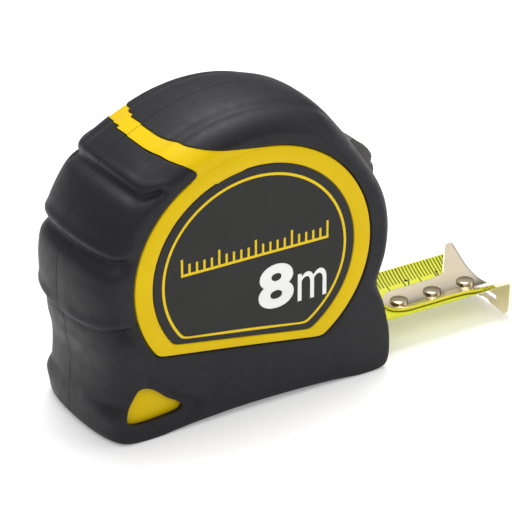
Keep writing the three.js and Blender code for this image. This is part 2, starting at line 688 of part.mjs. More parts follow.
addPiece("brake_pad", brakePad(), RUBBER_BLACK);

export default tape;
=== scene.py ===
"""Looks of a pocket tape measure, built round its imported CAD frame.

Lengths are millimetres until mesh_object() turns them into metres.
"""

import math

import bmesh
import bpy
import numpy as np
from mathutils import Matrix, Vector


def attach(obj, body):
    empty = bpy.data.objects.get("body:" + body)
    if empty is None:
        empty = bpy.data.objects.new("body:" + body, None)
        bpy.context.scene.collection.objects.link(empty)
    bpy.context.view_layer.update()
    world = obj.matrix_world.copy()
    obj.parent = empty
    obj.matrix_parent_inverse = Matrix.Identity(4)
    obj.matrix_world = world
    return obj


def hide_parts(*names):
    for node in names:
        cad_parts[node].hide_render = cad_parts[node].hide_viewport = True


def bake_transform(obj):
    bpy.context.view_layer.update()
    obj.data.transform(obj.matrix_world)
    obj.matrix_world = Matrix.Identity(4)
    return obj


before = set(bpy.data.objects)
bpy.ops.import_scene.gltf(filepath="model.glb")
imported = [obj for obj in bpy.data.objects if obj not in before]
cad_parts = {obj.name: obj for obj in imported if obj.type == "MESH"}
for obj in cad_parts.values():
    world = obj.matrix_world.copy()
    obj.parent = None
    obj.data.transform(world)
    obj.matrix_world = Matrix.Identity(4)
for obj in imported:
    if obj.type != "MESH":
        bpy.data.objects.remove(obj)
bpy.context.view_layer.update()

MM = 0.001

# ---- sizes shared with the CAD model ----

GAP = 0.3
REEL_Z = 38.5
HALF_WIDTH = 18.5
RUBBER = 1.6
TRIM_SINK = 0.15
BASE_ARCH = 1.3
PARTING_Y = 0.7
CAVITY_RADIUS = 30.5
CAVITY_HALF_WIDTH = 13.4
RING_OUTER = (32.7, 30.05)  # half length and half height
RING_INNER = (27.8, 25.6)
CHORD_OUTER = ((-26.8, 21.3), (19.7, 14.0))
CHORD_INNER = ((-22.9, 23.6), (15.2, 17.2))
LABEL_FLOOR = 17.9
LABEL_FACE = 18.25
LOCK_SLOT_HALF_WIDTH = 7.6

BLADE_HALF_CHORD = 11.6
BLADE_SAGITTA = 4.2
BLADE_EDGE_Z = 9.0
BLADE_THICKNESS = 0.2
BLADE_TAIL_X = 4.0
HOOK_FRONT_X = 80.8
HOOK_THICKNESS = 0.9
HOOK_BOTTOM_Z = 0.35
HOOK_PLAY = 1.0
BEND_BEVEL = 0.7
STRAP_REAR = 30.5
STRAP_HALF_WIDTH = 5.0
WING_REAR = 9.0
RIVET_BACK = (5.6, 16.1, 26.5)
RIVET_SHANK = 1.05
RIVET_PLAY = 0.25
CUP_RADIUS = (BLADE_HALF_CHORD**2 + BLADE_SAGITTA**2) / (2 * BLADE_SAGITTA)
CUP_Z = BLADE_EDGE_Z - BLADE_SAGITTA + CUP_RADIUS
LOCK_TRAVEL = 10.0
LOCK_HALF_WIDTH = 7.2
THUMB_HALF_WIDTH = 6.8
BRAKE_HALF_WIDTH = 5.0
CLIP_HALF_WIDTH = 10.0
CLIP_THICKNESS = 1.0
CLIP_TOP = 61.0
CLIP_BEND_RADIUS = 2.3
CLIP_TAB_Y = 18.75
CLIP_SCREW_Z = 54.0

# ---- finer sizes of the looks ----

SKIN = 0.12  # the rubber lies this far below the outline and the side faces
STATIONS = 460  # points round one loop of the case
CROWN_ROWS = 34  # loops from the middle plane to a shoulder
FACE_ROWS = 30  # loops from a shoulder to the ring
LIP_RADIUS = 0.5  # rounding of the rubber where it meets the ring
EASE = 0.05  # small step that keeps joined or nested surfaces apart


def polar(degrees, radius):
    """The (x, z) point at an angle and radius about the reel axis."""
    angle = math.radians(degrees)
    return (radius * math.cos(angle), REEL_Z + radius * math.sin(angle))


# Middle-plane outline of the case, from the lower front corner up over the top and back along the base.
OUTLINE = [
    (36, 0), (38.1, 0.9), (39.1, 3.2), (39.2, 8.8), (38.9, 11.6), (38.5, 14), (38.3, 18),
    polar(-22, 41.4), polar(-10, 41.5), polar(2, 41.5), polar(14, 40.9), polar(28, 39.5), polar(43, 39.4),
    polar(53, 40.2), polar(60, 40.4), polar(75, 39.6), polar(90, 39), polar(105, 38.8), polar(119, 39.1),
    polar(128, 39.8), polar(134, 40.6), polar(141, 41.2), polar(148, 41.5), polar(157, 42), polar(162, 42.2),
    polar(166, 42.5), polar(170, 42.7), polar(178, 43), polar(187, 43.3), polar(190, 43.7), polar(193, 43.9),
    polar(197, 43.3), (-41.1, 23.6), (-40.2, 19), (-40.2, 14.5), (-40.7, 9), (-40.9, 4), (-40.1, 1),
    (-37.8, 0),
    (-20, 0), (0, 0), (20, 0),
]

SCREW_PLACES = [polar(42, 35), polar(75, 34.8), polar(150, 34.8), polar(208, 35.8)]

BOX_LOW = (-42.9, -HALF_WIDTH + 0.02, 0.02)  # the rubber stays inside this box
BOX_HIGH = (60.0, HALF_WIDTH - 0.02, 77.4)

# Grip grooves: angle on the back, and angle where the groove ends on a side face.
GROOVES = [(141, 134.5), (166, 164.5), (192, 194)]
GROOVE_DEPTH = 1.6
GROOVE_UPPER = 1.0  # width of a groove's steep upper flank
GROOVE_LOWER = 2.4  # width of its shallow lower flank
GROOVE_LIP = 0.3  # height of the soft ridge above a groove
GROOVE_END = 35.6  # distance from the reel axis where a groove stops on a side face

# The rounded triangular window low at the rear of each side face.
WINDOW = [
    (-31.9, 14.3), (-33.5, 12.6), (-35.2, 9), (-35.3, 6.4), (-33.7, 5.2), (-25, 5.2), (-21, 5.9),
    (-20.3, 6.8),
    (-24.4, 9.9), (-28.8, 13.5),
]
WINDOW_ROLL = ((-28.6, 15.2), (-22, 9), (-16.6, 6.4))  # line above the window along which the rubber rolls in
WINDOW_ROLL_DEPTH = 1.1

SIDES = {"right": -1, "left": 1}


# ---- helpers for numbers ----


def smoothstep(value, low, high):
    t = np.clip((value - low) / (high - low), 0, 1)
    return t * t * (3 - 2 * t)


def catmull_rom(points, steps):
    """A closed centripetal Catmull-Rom curve through the points, with that many steps between two."""
    points = np.array(points, float)
    count = len(points)
    made = []
    for i in range(count):
        before, start, end, after = (points[(i + k - 1) % count] for k in range(4))
        spans = ((before, start), (start, end), (end, after))
        d0, d1, d2 = (np.linalg.norm(b - a) ** 0.5 for a, b in spans)
        t1 = ((start - before) / d0 - (end - before) / (d0 + d1) + (end - start) / d1) * d1
        t2 = ((end - start) / d1 - (after - start) / (d1 + d2) + (after - end) / d2) * d1
        for t in np.arange(steps) / steps:
            square = 3 * (end - start) - 2 * t1 - t2
            cube = 2 * (start - end) + t1 + t2
            made.append(start + t1 * t + square * t**2 + cube * t**3)
    return np.array(made)


def even_steps(curve, count):
    """The closed curve again, with points evenly spaced along it."""
    loop = np.vstack([curve, curve[:1]])
    length = np.concatenate([[0], np.cumsum(np.linalg.norm(np.diff(loop, axis=0), axis=1))])
    at = np.arange(count) / count * length[-1]
    return np.stack([np.interp(at, length, loop[:, k]) for k in range(2)], axis=1)


def catmull_rom_open(points, steps):
    """A soft curve through points that doesn't close."""
    points = [np.array(p, float) for p in points]
    points = [2 * points[0] - points[1], *points, 2 * points[-1] - points[-2]]
    made = []
    for a, b, c, d in zip(points, points[1:], points[2:], points[3:]):
        for t in np.arange(steps) / steps:
            square = 2 * a - 5 * b + 4 * c - d
            cube = 3 * b - a - 3 * c + d
            made.append(tuple(0.5 * (2 * b + (c - a) * t + square * t**2 + cube * t**3)))
    return made + [tuple(points[-2])]


def turned(point, degrees):
    """An (x, z) point turned about the reel axis."""
    x, z = point[0], point[1] - REEL_Z
    return polar(math.degrees(math.atan2(z, x)) + degrees, math.hypot(x, z))


def offset_loop(outline, inset):
    """The closed outline moved inwards by inset."""
    before = np.roll(outline, 1, axis=0)
    after = np.roll(outline, -1, axis=0)
    area = np.sum(before[:, 0] * outline[:, 1] - outline[:, 0] * before[:, 1])
    turn = 1 if area > 0 else -1
    a = outline - before
    b = after - outline
    normal_a = np.stack([-a[:, 1], a[:, 0]], axis=1) / np.linalg.norm(a, axis=1)[:, None] * turn
    normal_b = np.stack([-b[:, 1], b[:, 0]], axis=1) / np.linalg.norm(b, axis=1)[:, None] * turn
    middle = normal_a + normal_b
    middle /= np.maximum(np.sum(middle * normal_a, axis=1), 0.3)[:, None]
    return outline + middle * inset


# ---- helpers for meshes ----


def mesh_object(name, points, faces):
    """A new object from millimetre points, turned right side out."""
    points = np.asarray(points, float).reshape(-1, 3) * MM
    mesh = bpy.data.meshes.new(name)
    mesh.from_pydata(points.tolist(), [], [list(map(int, f)) for f in faces])
    mesh.update()
    bm = bmesh.new()
    bm.from_mesh(mesh)
    if bm.calc_volume(signed=True) < 0:
        bmesh.ops.reverse_faces(bm, faces=bm.faces)
    bm.to_mesh(mesh)
    bm.free()
    made = bpy.data.objects.new(name, mesh)
    bpy.context.scene.collection.objects.link(made)
    return made


def grid_faces(rows, columns, wrap_rows, wrap_columns):
    """Quads between the points of a grid, joined up at the end of a direction where it wraps."""
    i = np.arange(rows if wrap_rows else rows - 1)
    j = np.arange(columns if wrap_columns else columns - 1)
    a, b = np.meshgrid(i, j, indexing="ij")
    c = (a + 1) % rows
    d = (b + 1) % columns
    corners = [a * columns + b, a * columns + d, c * columns + d, c * columns + b]
    return np.stack(corners, axis=-1).reshape(-1, 4)


def ring_mesh(name, grid):
    """A closed skin from a grid that joins up in both directions."""
    rows, columns = grid.shape[:2]
    return mesh_object(name, grid, grid_faces(rows, columns, True, True))


def capped_mesh(name, grid):
    """A closed skin from a grid of loops, the first and last of which are filled with one face."""
    rows, columns = grid.shape[:2]
    faces = grid_faces(rows, columns, False, True).tolist()
    faces.append(list(range(columns))[::-1])
    faces.append([(rows - 1) * columns + k for k in range(columns)])
    return mesh_object(name, grid, faces)


def stacked_mesh(name, outline, axis, levels):
    """A closed mesh of (level, inset) copies of an outline along an axis.

    X takes (y, z) points, Y takes (x, z) and Z takes (x, y).
    """
    outline = np.array(outline, float)
    loops = []
    for level, inset in levels:
        flat = offset_loop(outline, inset) if inset > 1e-6 else outline
        columns = [flat[:, 0], flat[:, 1]]
        columns.insert("XYZ".index(axis), np.full(len(flat), level))
        loops.append(np.stack(columns, axis=1))
    return capped_mesh(name, np.array(loops))


def prism(name, outline, axis, low, high):
    """An outline pushed along an axis."""
    return stacked_mesh(name, outline, axis, [(low, 0), (high, 0)])


def rounded_prism(name, outline, axis, low, high, radius, steps=4):
    """A prism with rounded edges at both ends."""
    turns = np.linspace(0, math.pi / 2, steps + 1)
    near = [(low + radius * (1 - math.cos(a)), radius * (1 - math.sin(a))) for a in turns]
    far = [(high - (level - low), inset) for level, inset in reversed(near)]
    return stacked_mesh(name, outline, axis, near + far)


def joined_mesh(name, parts):
    """One object from (points, faces) parts."""
    points, faces, count = [], [], 0
    for part_points, part_faces in parts:
        points.append(np.asarray(part_points, float).reshape(-1, 3))
        faces += [[count + k for k in face] for face in part_faces]
        count += len(points[-1])
    return mesh_object(name, np.vstack(points), faces)


def turned_mesh(name, profile, place, axis, count=40):
    """A (radius, height) profile turned round an axis through place, filled at both ends."""
    angles = np.arange(count) / count * 2 * math.pi
    loops = []
    for radius, height in profile:
        a, b, fixed = radius * np.cos(angles), radius * np.sin(angles), np.full(count, height)
        parts = (a, fixed, b) if axis == "Y" else (a, b, fixed)
        loops.append(np.stack(parts, axis=1) + np.array(place))
    return capped_mesh(name, np.array(loops))


def lettering(text, height, thickness, weight):
    """(points, faces) of solid letters: x to the right, y up, z towards the reader, foot at the origin."""
    curve = bpy.data.curves.new("lettering", "FONT")
    curve.body = text
    curve.size = 1.0
    curve.extrude = 0.5
    curve.offset = weight
    curve.resolution_u = 6
    holder = bpy.data.objects.new("lettering", curve)
    bpy.context.scene.collection.objects.link(holder)
    graph = bpy.context.evaluated_depsgraph_get()
    mesh = bpy.data.meshes.new_from_object(holder.evaluated_get(graph))
    bm = bmesh.new()
    bm.from_mesh(mesh)
    bmesh.ops.remove_doubles(bm, verts=bm.verts, dist=1e-5)
    bmesh.ops.recalc_face_normals(bm, faces=bm.faces)
    points = np.array([v.co for v in bm.verts])
    faces = [[v.index for v in face.verts] for face in bm.faces]
    bm.free()
    bpy.data.objects.remove(holder)
    bpy.data.curves.remove(curve)
    bpy.data.meshes.remove(mesh)
    points -= np.array([points[:, 0].min(), points[:, 1].min(), points[:, 2].min()])
    tall = points[:, 1].max()
    return points * np.array([height / tall, height / tall, thickness / points[:, 2].max()]), faces


def boolean(target, tools, operation="DIFFERENCE"):
    """Cuts, joins or clips target with each tool in turn, and removes the tools."""
    for tool in tools:
        modifier = target.modifiers.new("boolean", "BOOLEAN")
        modifier.object = tool
        modifier.operation = operation
        modifier.solver = "MANIFOLD"
        graph = bpy.context.evaluated_depsgraph_get()
        result = bpy.data.meshes.new_from_object(target.evaluated_get(graph))
        target.modifiers.clear()
        old = target.data
        target.data = result
        bpy.data.meshes.remove(old)
        bpy.data.objects.remove(tool)
    return target


def finish_mesh(target, sharp_degrees=35):
    mesh = target.data
    mesh.shade_smooth()
    mesh.set_sharp_from_angle(angle=math.radians(sharp_degrees))
    return target


def coat(piece, paint):
    """Gives a piece this material and no other."""
    piece.data.materials.clear()
    piece.data.materials.append(paint)


def ride_as(piece, body, slot, paint, *nodes):
    """Hands a finished piece over: body, material, and the CAD nodes it stands for. The material slot
    argument is not used.
    """
    coat(piece, paint)
    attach(piece, body)
    if nodes:
        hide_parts(*nodes)
    return piece


# ---- materials ----


class Nodes:
    """A material's node tree, with short calls to add the nodes that these finishes share."""

    def __init__(self, name):
        self.material = bpy.data.materials.new(name)
        self.material.use_nodes = True
        self.tree = self.material.node_tree
        self.shader = self.tree.nodes["Principled BSDF"]
        self.place = self.add("ShaderNodeTexCoord").outputs["Object"]

    def add(self, kind, **values):
        node = self.tree.nodes.new(kind)
        for key, value in values.items():
            setattr(node, key, value)
        return node

    def link(self, source, target):
        self.tree.links.new(source, target)

    def stretched(self, scale):
        node = self.add("ShaderNodeMapping")
        node.inputs["Scale"].default_value = scale
        self.link(self.place, node.inputs["Vector"])
        return node.outputs["Vector"]

    def noise(self, scale, detail=4.0, roughness=0.55, place=None):
        node = self.add("ShaderNodeTexNoise")
        node.inputs["Scale"].default_value = scale
        node.inputs["Detail"].default_value = detail
        node.inputs["Roughness"].default_value = roughness
        self.link(place or self.place, node.inputs["Vector"])
        return node.outputs["Fac"]

    def remap(self, source, from_low, from_high, to_low, to_high):
        node = self.add("ShaderNodeMapRange")
        limits = (("From Min", from_low), ("From Max", from_high), ("To Min", to_low), ("To Max", to_high))
        for key, value in limits:
            node.inputs[key].default_value = value
        self.link(source, node.inputs["Value"])
        return node.outputs["Result"]

    def mixed(self, factor, low, high):
        node = self.add("ShaderNodeMix", data_type="RGBA")
        self.link(factor, node.inputs["Factor"])
        for socket, value in ((node.inputs["A"], low), (node.inputs["B"], high)):
            if isinstance(value, tuple):
                socket.default_value = (*value, 1)
            else:
                self.link(value, socket)
        return node.outputs["Result"]

    def edges(self, radius):
        """1 along worn outside edges, 0 elsewhere."""
        soft = self.add("ShaderNodeBevel", samples=6)
        soft.inputs["Radius"].default_value = radius
        plain = self.add("ShaderNodeNewGeometry")
        dot = self.add("ShaderNodeVectorMath", operation="DOT_PRODUCT")
        self.link(soft.outputs["Normal"], dot.inputs[0])
        self.link(plain.outputs["Normal"], dot.inputs[1])
        return self.remap(dot.outputs["Value"], 1.0, 0.8, 0.0, 1.0)

    def bump(self, height, distance, strength=1.0, normal=None):
        node = self.add("ShaderNodeBump")
        node.inputs["Distance"].default_value = distance
        node.inputs["Strength"].default_value = strength
        self.link(height, node.inputs["Height"])
        if normal is not None:
            self.link(normal, node.inputs["Normal"])
        return node.outputs["Normal"]

    def rounded(self, radius):
        node = self.add("ShaderNodeBevel", samples=6)
        node.inputs["Radius"].default_value = radius
        return node.outputs["Normal"]

    def set(self, **values):
        for key, value in values.items():
            socket = self.shader.inputs[key.replace("_", " ")]
            if isinstance(value, (int, float, tuple)):
                socket.default_value = value
            else:
                self.link(value, socket)
        return self.material


def plastic(name, color, dark, roughness, grain=0.00002, specular=0.5, edge=0.00025):
    nodes = Nodes(name)
    broad = nodes.remap(nodes.noise(60, 3), 0.3, 0.7, 0, 1)
    fine = nodes.noise(2600, 2)
    body = nodes.mixed(broad, dark, color)
    wear = nodes.edges(edge)
    pale = tuple(min(1.0, c * 1.15 + 0.012) for c in color)
    coloured = nodes.mixed(wear, body, pale)
    rough = nodes.remap(nodes.noise(140, 5), 0.3, 0.7, roughness - 0.05, roughness + 0.06)
    normal = nodes.bump(fine, grain, 1.0, nodes.rounded(edge))
    return nodes.set(Base_Color=coloured, Roughness=rough, Normal=normal, Specular_IOR_Level=specular)


def rubber(name):
    nodes = Nodes(name)
    broad = nodes.remap(nodes.noise(45, 4), 0.3, 0.7, 0, 1)
    body = nodes.mixed(broad, (0.008, 0.008, 0.0105), (0.0105, 0.0102, 0.0125))
    dust = nodes.remap(nodes.noise(900, 2, 0.7), 0.66, 0.78, 0, 0.35)
    dusty = nodes.mixed(dust, body, (0.035, 0.034, 0.037))
    worn = nodes.mixed(nodes.edges(0.0004), dusty, (0.026, 0.0255, 0.027))
    rough = nodes.remap(nodes.noise(300, 5), 0.3, 0.7, 0.44, 0.56)
    grain = nodes.noise(3400, 3, 0.6)
    normal = nodes.bump(grain, 0.00003, 0.7, nodes.rounded(0.0003))
    return nodes.set(Base_Color=worn, Roughness=rough, Normal=normal, Specular_IOR_Level=0.26)


def metal(name, color, dark, roughness, brushed=(1, 1, 1), grain=0.000004, edge=0.0002):
    nodes = Nodes(name)
    broad = nodes.remap(nodes.noise(110, 4), 0.3, 0.7, 0, 1)
    streaks = nodes.noise(1500, 4, 0.6, nodes.stretched(brushed))
    body = nodes.mixed(broad, dark, color)
    bright = tuple(min(1.0, c * 1.12) for c in color)
    worn = nodes.mixed(nodes.edges(edge), body, bright)
    rough = nodes.remap(streaks, 0.25, 0.75, roughness - 0.05, roughness + 0.08)
    normal = nodes.bump(streaks, grain, 1.0, nodes.rounded(edge))
    return nodes.set(Base_Color=worn, Roughness=rough, Normal=normal, Metallic=1.0)


PAINTS = {
    "rubber": rubber("overmould rubber"),
    "yellow": plastic(
        "yellow shell plastic", (0.72, 0.50, 0.001), (0.67, 0.455, 0.001), 0.36, 0.000008, 0.12
    ),
    "label": plastic("label film", (0.018, 0.0175, 0.017), (0.0155, 0.015, 0.0145), 0.4, 0.000004, 0.22),
    "label yellow": plastic(
        "label yellow ink", (0.80, 0.56, 0.002), (0.75, 0.52, 0.002), 0.42, 0.000004, 0.2
    ),
    "label white": plastic("label white ink", (0.86, 0.86, 0.85), (0.80, 0.80, 0.79), 0.42, 0.000004),
    "blade": plastic("blade lacquer", (0.66, 0.68, 0.04), (0.60, 0.62, 0.03), 0.3, 0.000004, 0.35),
    "blade ink": plastic("blade ink", (0.010, 0.011, 0.008), (0.007, 0.008, 0.006), 0.45, 0.000002),
    "nickel": metal("nickel plate", (0.90, 0.80, 0.62), (0.83, 0.72, 0.53), 0.13, (1, 6, 1)),
    # The rivets are nickel plated like the hook; this darker nickel is painted shade, standing in for the
    # dark surroundings their heads reflect.
    "rivet": metal("rivet nickel with painted shade", (0.50, 0.42, 0.28), (0.40, 0.33, 0.21), 0.12),
    "clip": metal("clip spring steel", (0.56, 0.56, 0.55), (0.47, 0.47, 0.46), 0.3, (1, 1, 9)),
    "spring": metal("oiled spring steel", (0.21, 0.22, 0.24), (0.14, 0.15, 0.17), 0.32, (1, 8, 1)),
    "zinc": metal("zinc plated steel", (0.63, 0.65, 0.68), (0.52, 0.54, 0.57), 0.28),
    "grey": plastic("grey moulded plastic", (0.34, 0.34, 0.33), (0.29, 0.29, 0.28), 0.5),
    "black": plastic("lock button plastic", (0.060, 0.052, 0.047), (0.048, 0.041, 0.038), 0.42),
}

# ---- form of the case ----


def outline_stations():
    """Evenly spaced (x, z) stations round the middle plane, with outward normals."""
    points = even_steps(catmull_rom(OUTLINE, 24), STATIONS)
    tangent = np.roll(points, -1, axis=0) - np.roll(points, 1, axis=0)
    tangent /= np.linalg.norm(tangent, axis=1)[:, None]
    return points, np.stack([tangent[:, 1], -tangent[:, 0]], axis=1)


OUTLINE_POINTS, OUTLINE_NORMALS = outline_stations()
X0, Z0 = OUTLINE_POINTS.T
REARWARD = smoothstep(-X0, 0, 25)
ROUNDNESS = (1 - REARWARD) * smoothstep(Z0, 11, 24) + REARWARD * smoothstep(Z0, 1, 11)
FOOT_ROUND = (4.6 + 2.4 * smoothstep(Z0, 0, 6)) * (1 - ROUNDNESS) * smoothstep(-X0, 0, 18)
SHOULDER_INSET = 7 - 1.6 * smoothstep(X0, 0, 20) * (1 - smoothstep(Z0, 45, 66))


def case_row(skin, y):
    """One loop of the case form at a given y, as far below the CAD surface as skin says."""
    half_width = HALF_WIDTH - skin
    side = min(abs(y) / half_width, 1.0)
    sunk = skin * (0.6 + 0.4 * ROUNDNESS)
    inset = np.maximum(1.6 + (SHOULDER_INSET - 1.6) * ROUNDNESS, sunk + 0.5) - sunk
    power = 9 - 6.8 * ROUNDNESS
    depth = sunk + inset * (1 - np.maximum(0, 1 - side**power) ** (1 / power))
    arch = np.where(Z0 < 1, BASE_ARCH * np.maximum(0, 1 - (X0 / 30) ** 2), 0)
    lift = arch * smoothstep(np.array(side), 0.5, 0.75)
    plan = FOOT_ROUND * (1 - max(0, 1 - side**2.2) ** (1 / 2.2))
    x = X0 - OUTLINE_NORMALS[:, 0] * depth + plan
    z = Z0 - OUTLINE_NORMALS[:, 1] * depth + lift
    return np.stack([x, np.full(STATIONS, float(y)), z], axis=1)


def groove_depth(points):
    """Depth of the grip grooves at points of the case."""
    x, z = points[..., 0], points[..., 2] - REEL_Z
    radius = np.hypot(x, z)
    theta = np.degrees(np.arctan2(z, x)) % 360
    depth = np.zeros(radius.shape)
    for start, end in GROOVES:
        centre = start + (end - start) * smoothstep(-radius, -39.0, -34.5)
        along = np.radians(theta - centre) * radius
        beyond = np.maximum(0, GROOVE_END - radius)
        width = np.where(along < 0, GROOVE_UPPER, GROOVE_LOWER)
        fade = np.exp(-((beyond / 1.3) ** 2))
        depth += GROOVE_DEPTH * np.exp(-((along / width) ** 2)) * fade
        depth -= GROOVE_LIP * np.exp(-(((along + 2.3) / 1.2) ** 2)) * fade
    return depth


def channel_depth(points):
    """Depth of the soft channel that runs along the top beside each shoulder."""
    x, y, z = points[..., 0], np.abs(points[..., 1]), points[..., 2] - REEL_Z
    theta = np.degrees(np.arctan2(z, x)) % 360
    fade = smoothstep(theta, 38, 75) * (1 - smoothstep(theta, 128, 140))
    centre = 11.6
    return 0.55 * fade * np.exp(-(((y - centre) / 1.5) ** 2))


def roll_depth(points):
    """Depth of the soft hollow where the rubber rolls in above the window on a side face."""
    x, z = points[..., 0], points[..., 2]
    distance = np.full(x.shape, 99.0)
    for (x0, z0), (x1, z1) in zip(WINDOW_ROLL, WINDOW_ROLL[1:]):
        length = (x1 - x0) ** 2 + (z1 - z0) ** 2
        t = np.clip(((x - x0) * (x1 - x0) + (z - z0) * (z1 - z0)) / length, 0, 1)
        distance = np.minimum(distance, np.hypot(x - x0 - t * (x1 - x0), z - z0 - t * (z1 - z0)))
    on_side = smoothstep(np.abs(points[..., 1]), 14, 17)
    return WINDOW_ROLL_DEPTH * on_side * np.exp(-((distance / 1.5) ** 2))


def relief_depth(points):
    """Depth of the grooves and the top channel together."""
    return groove_depth(points) + channel_depth(points)


def surface_normals(grid):
    """Normals of a grid that closes along its second direction, pointing away from the case."""
    across = np.gradient(grid, axis=0)
    around = np.roll(grid, -1, axis=1) - np.roll(grid, 1, axis=1)
    normal = np.cross(across, around)
    normal /= np.maximum(np.linalg.norm(normal, axis=2), 1e-9)[..., None]
    outward = grid - np.array([0, 0, REEL_Z])
    outward[..., 1] *= 0.2
    flip = np.sign(np.sum(normal * outward, axis=2))
    normal *= np.where(flip == 0, 1, flip)[..., None]
    for _ in range(3):
        above, below = np.vstack([normal[:1], normal[:-1]]), np.vstack([normal[1:], normal[-1:]])
        normal = normal + above + below + np.roll(normal, 1, axis=1) + np.roll(normal, -1, axis=1)
    return normal / np.maximum(np.linalg.norm(normal, axis=2), 1e-9)[..., None]


def cut_oval_radius(theta, oval, chord, margin=0.0, sharpness=70):
    """Distance from the reel axis to an oval whose foot is cut off along a chord."""
    cos, sin = np.cos(theta), np.sin(theta)
    curve = 1 / np.sqrt((cos / oval[0]) ** 2 + (sin / oval[1]) ** 2)
    rear, front = np.array(chord[0]), np.array(chord[1])
    along = front - rear
    normal = np.array([along[1], -along[0]]) / np.linalg.norm(along)
    distance = np.dot(rear - np.array([0, REEL_Z]), normal)
    reach = cos * normal[0] + sin * normal[1]
    line = np.where(reach > 1e-3, distance / np.maximum(reach, 1e-3), 1e4)
    return (curve**-sharpness + line**-sharpness) ** (-1 / sharpness) - margin


def round_loop(radius, theta, y):
    """Points round the reel axis at a given y."""
    return np.stack([radius * np.cos(theta), np.full(len(theta), y), REEL_Z + radius * np.sin(theta)], axis=1)


def crown_levels(side, rows, skin):
    """Distances from the middle plane, crowded towards the shoulder, for one half of the case."""
    half_width = HALF_WIDTH - skin
    start = PARTING_Y + side * (GAP / 2 - 0.05)
    low = math.asin(side * start / half_width)
    angles = np.linspace(low, math.pi / 2, rows)
    return side * half_width * np.sin(angles)


def grip(name, side):
    """One half of the rubber overmould: crown, side face, lip at the ring, and the inside skin."""
    outer = np.array([case_row(SKIN, y) for y in crown_levels(side, CROWN_ROWS, SKIN)])
    inner = np.array([case_row(RUBBER, y) for y in crown_levels(side, CROWN_ROWS, RUBBER)])
    edge, inner_edge = outer[-1], inner[-1]
    theta = np.arctan2(edge[:, 2] - REEL_Z, edge[:, 0])
    ring = cut_oval_radius(theta, RING_OUTER, CHORD_OUTER)

    face_y = side * (HALF_WIDTH - SKIN)
    lip_start = round_loop(ring + LIP_RADIUS, theta, face_y)
    face = np.array([edge + (lip_start - edge) * t for t in np.linspace(0, 1, FACE_ROWS + 1)[1:]])
    lip = np.array([
        round_loop(
            ring + LIP_RADIUS * (1 - math.sin(a)), theta, face_y - side * LIP_RADIUS * (1 - math.cos(a))
        )
        for a in np.radians([22, 45, 68, 90])
    ])
    outside = np.concatenate([outer, face, lip])
    normals = surface_normals(outside)
    outside -= normals * (relief_depth(outside) + roll_depth(outside))[..., None]
    outside = np.clip(outside, BOX_LOW, BOX_HIGH)
    back_start = round_loop(ring, theta, side * (HALF_WIDTH - RUBBER + EASE))
    fractions = np.linspace(1, 0, FACE_ROWS)[:-1]
    back = np.array([inner_edge + (back_start - inner_edge) * t for t in fractions])
    inside = np.concatenate([back, inner[::-1]])
    inside -= surface_normals(inside) * groove_depth(inside)[..., None]
    piece = ring_mesh(name, np.concatenate([outside, inside]))
    return boolean(piece, grip_cutters(side))


def case_solid(name, skin):
    """The whole case form as one closed solid, at a depth below the CAD surface."""
    half_width = HALF_WIDTH - skin
    levels = half_width * np.sin(np.linspace(-math.pi / 2, math.pi / 2, 2 * CROWN_ROWS - 1))
    rows = np.array([case_row(skin, y) for y in levels])
    for end in (0, -1):
        edge = rows[end].copy()
        centre = np.array([0, edge[0, 1], REEL_Z])
        caps = np.array([centre + (edge - centre) * t for t in np.linspace(0.7, 1, 14)[:-1]])
        rows = np.concatenate([caps, rows]) if end == 0 else np.concatenate([rows, caps[::-1]])
    rows -= surface_normals(rows) * relief_depth(rows)[..., None]
    return capped_mesh(name, rows)


# ---- cutters shared by the grips and the shells ----


def window_outline(margin=0.0):
    return offset_loop(catmull_rom(WINDOW, 8), margin)


def stripe_outline(margin, shift):
    """Side view of the yellow stripe that leaves the ring and crosses the top."""
    m = margin
    return [
        (5, 66), (6 - m, 68 - m), (-8, 70 - m), (-15, 71.3 - m), (-19.3 - m + shift, 72 - m),
        (-22.6 - m + shift, 78), (-29.2 + m + shift, 78), (-23.4 + m + shift, 69.6 + m),
        (-18.4, 67.8 + m), (-15.0, 65.9 + m), (-13.6, 64.6 + m), (-13.4, 63), (-10, 62),
    ]


def stripe_prisms(side, margin):
    """Cutters for one half of the stripe. On the far half it lies further forward, in two steps."""
    near = PARTING_Y + side * 0.1
    step = side * 6.2
    shifts = (0.3, 1.3) if side > 0 else (0.0, 0.0)
    ranges = [((near, step), shifts[0]), ((step, side * 20.0), shifts[1])]
    made = [prism("stripe", stripe_outline(margin, moved), "Y", *sorted(span)) for span, moved in ranges]
    return made + [prism("tip", stripe_tip(margin), "Y", *sorted((side * 15.4, side * 20)))]


def stripe_tip(margin):
    """Rounds off the corner of rubber between the stripe and the ring."""
    start, tip, end = (np.array([x + margin, z]) for x, z in ((-17.0, 67.0), (-14.5, 65.5), (-17.2, 64.06)))
    bend = [tuple(start * (1 - t) ** 2 + 2 * tip * t * (1 - t) + end * t * t) for t in np.linspace(0, 1, 9)]
    return bend + [(-12.5, 62.5), (-12.5, 66.6)]


def rounded_box_outline(x0, x1, z0, z1, radius, steps=6):
    corners = [
        (x1 - radius, z0 + radius, -90), (x1 - radius, z1 - radius, 0),
        (x0 + radius, z1 - radius, 90), (x0 + radius, z0 + radius, 180),
    ]
    points = []
    for x, z, start in corners:
        for k in range(steps + 1):
            angle = math.radians(start + 90 * k / steps)
            points.append((x + radius * math.cos(angle), z + radius * math.sin(angle)))
    return points


def sector_outline(inner, outer, top, bottom, steps=24):
    angles = np.linspace(bottom, top, steps + 1)
    return [polar(a, outer) for a in angles] + [polar(a, inner) for a in angles[::-1]]


def mouth_cutters():
    """The blade's tunnel, and the mouth with its rounded corners."""
    w = CAVITY_HALF_WIDTH
    mouth = prism("mouth", rounded_box_outline(-w, w, 2.6, 15, 2.2), "X", 31.8, 46)
    tunnel = prism("tunnel", rounded_box_outline(-w, w, 2.65, 12.5, 0.5), "X", -36.4, 33)
    return [mouth, tunnel]


